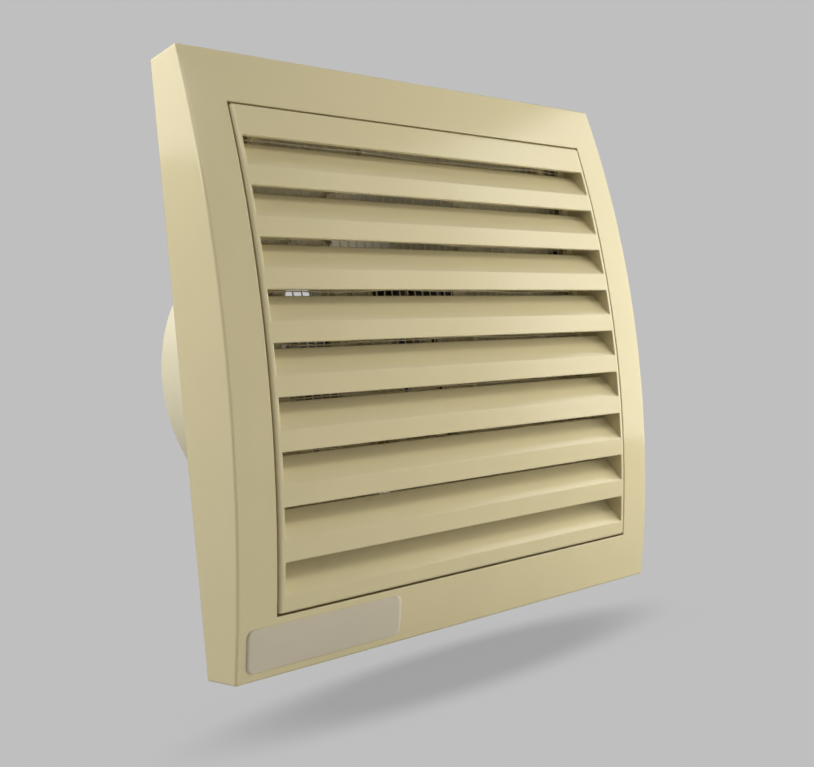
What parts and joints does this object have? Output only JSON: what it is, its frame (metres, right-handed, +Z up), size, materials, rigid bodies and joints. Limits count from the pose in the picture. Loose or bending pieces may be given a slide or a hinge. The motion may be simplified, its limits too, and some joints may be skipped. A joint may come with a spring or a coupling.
{
  "type": "bathroom exhaust fan",
  "caption": "Wall-mounted bathroom exhaust fan with a square curved cover, a fixed louvre grille over an insect net and a round duct spigot with an axial fan inside.",
  "frame": {"origin": "on the axis of the duct spigot, in the plane of the wall that the cover sits on", "axes": "+X to the right seen from the room, +Y into the wall along the duct, +Z up"},
  "size_m": [0.15, 0.0804, 0.15],
  "materials": {
    "cover_plastic": "semi-gloss moulded cream plastic",
    "grille_plastic": "semi-gloss moulded cream plastic",
    "housing_plastic": "semi-gloss moulded cream plastic",
    "net_fibre": "fine woven fibre",
    "impeller_plastic": "moulded plastic, satin",
    "lamination_steel": "stacked electrical steel sheets",
    "bright_steel": "zinc plated",
    "cast_metal": "die cast, matt",
    "copper": "bare copper",
    "brass": "bare brass",
    "bronze": "sintered and oiled",
    "coil_tape": "taped coil",
    "bobbin_plastic": "moulded nylon",
    "terminal_plastic": "moulded nylon, black",
    "rubber": "soft rubber",
    "wire_brown": "wire insulation",
    "wire_blue": "wire insulation",
    "washer_plastic": "moulded nylon"
  },
  "bodies": {
    "housing": {"base_plate": "housing_plastic", "base_rim": "housing_plastic", "duct_spigot": "housing_plastic", "motor_carrier": "housing_plastic", "front_cover": "cover_plastic", "cover_screws": "bright_steel", "stator_core": "lamination_steel", "coil_core": "lamination_steel", "shading_rings": "copper", "coil_bobbin": "bobbin_plastic", "coil_winding": "coil_tape", "front_bearing_bracket": "cast_metal", "rear_bearing_bracket": "cast_metal", "front_bearing_bush": "bronze", "rear_bearing_bush": "bronze", "motor_screws": "bright_steel", "motor_nuts": "bright_steel", "terminal_block": "terminal_plastic", "terminal_tubes": "brass", "terminal_screws": "bright_steel", "terminal_fixing_screw": "bright_steel", "lead_wire_live": "wire_brown", "lead_wire_neutral": "wire_blue", "cable_grommet": "rubber", "cable_clamp": "terminal_plastic", "cable_clamp_screws": "bright_steel"},
    "grille": {"louvre_grille": "grille_plastic", "net_frame": "grille_plastic", "insect_net": "net_fibre"},
    "rotor": {"motor_shaft": "bright_steel", "rotor_core": "lamination_steel", "rotor_end_rings": "cast_metal", "thrust_washers": "washer_plastic", "impeller": "impeller_plastic", "impeller_clip": "bright_steel"}
  },
  "joints": [
    {"name": "rotor_spin", "type": "hinge", "parent": "housing", "child": "rotor", "pos_m": [0, 0, 0], "axis": [0, 1, 0], "continuous": true},
    {"name": "grille_pull", "type": "slide", "parent": "housing", "child": "grille", "axis": [0, -1, 0], "range_m": [0, 0.06]}
  ]
}
